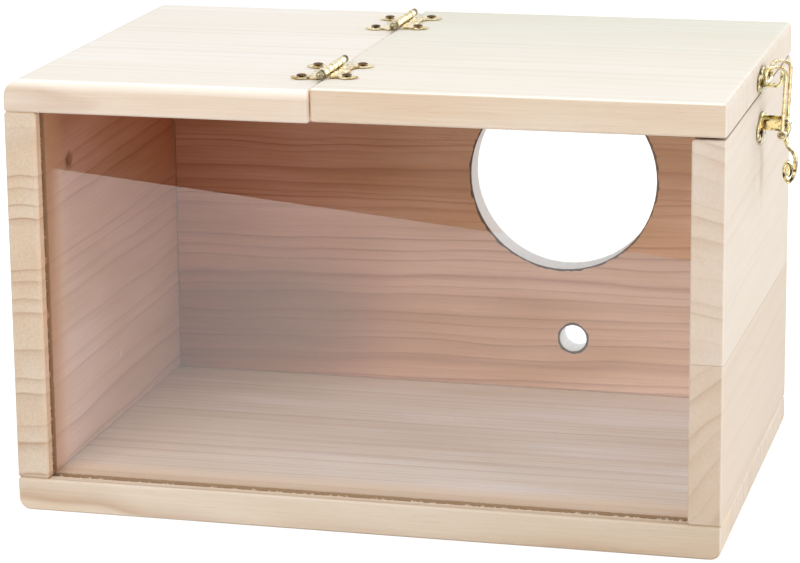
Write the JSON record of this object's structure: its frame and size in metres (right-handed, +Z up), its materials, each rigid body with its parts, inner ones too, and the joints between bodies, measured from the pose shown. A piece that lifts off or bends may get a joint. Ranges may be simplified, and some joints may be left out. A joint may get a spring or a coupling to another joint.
{
  "type": "parrot nest box",
  "caption": "Low wooden parrot nest box with a clear front window, a round entrance and a perch hole in the back, and a brass-hinged lid held shut by a toggle latch.",
  "frame": {"origin": "centre of the underside of the floor board", "axes": "+Z up, -Y out through the window, +X towards the latch"},
  "size_m": [0.2631, 0.16, 0.1589],
  "materials": {
    "wood": "sanded unfinished paulownia boards",
    "clear_acrylic": "clear polished acrylic sheet",
    "brass": "bright brass-plated stamped steel and wire",
    "steel": "plain steel brads",
    "dowel_wood": "beech dowels"
  },
  "bodies": {
    "box": {"floor_board": "wood", "left_wall": "wood", "right_wall": "wood", "back_wall": "wood", "fixed_top": "wood", "front_window": "clear_acrylic", "hinge_front_fixed_leaf": "brass", "hinge_front_pin": "brass", "hinge_rear_fixed_leaf": "brass", "hinge_rear_pin": "brass", "hinge_nail_fixed_1": "brass", "hinge_nail_fixed_2": "brass", "hinge_nail_fixed_3": "brass", "hinge_nail_fixed_4": "brass", "latch_base_plate": "brass", "base_nail_1": "brass", "base_nail_2": "brass", "lever_pin": "brass", "floor_brad_1": "steel", "floor_brad_2": "steel", "floor_brad_3": "steel", "floor_brad_4": "steel", "floor_brad_5": "steel", "floor_brad_6": "steel", "floor_brad_7": "steel", "floor_brad_8": "steel", "floor_brad_9": "steel", "top_dowel_1": "dowel_wood", "top_dowel_2": "dowel_wood", "top_dowel_3": "dowel_wood", "top_dowel_4": "dowel_wood", "back_dowel_1": "dowel_wood", "back_dowel_2": "dowel_wood", "back_dowel_3": "dowel_wood", "back_dowel_4": "dowel_wood"},
    "lid": {"lid": "wood", "hinge_front_lid_leaf": "brass", "hinge_rear_lid_leaf": "brass", "hinge_nail_lid_1": "brass", "hinge_nail_lid_2": "brass", "hinge_nail_lid_3": "brass", "hinge_nail_lid_4": "brass", "latch_strike_plate": "brass", "strike_nail_1": "brass", "strike_nail_2": "brass"},
    "latch_lever": {"latch_lever": "brass", "loop_pin": "brass"},
    "latch_loop": {"latch_loop": "brass"}
  },
  "joints": [
    {"name": "lid_hinge", "type": "hinge", "parent": "box", "child": "lid", "pos_m": [-0.0156, 0, 0.1574], "axis": [0, -1, 0], "range_deg": [0, 180]},
    {"name": "lever_turn", "type": "hinge", "parent": "box", "child": "latch_lever", "pos_m": [0.1336, 0, 0.1336], "axis": [0, -1, 0], "range_deg": [0, 140]},
    {"name": "loop_turn", "type": "hinge", "parent": "latch_lever", "child": "latch_loop", "pos_m": [0.13329, 0, 0.13062], "axis": [0, 1, 0], "range_deg": [0, 140]}
  ],
  "couplings": [
    {"joint": "loop_turn", "follows": "lever_turn", "ratio": 1}
  ]
}
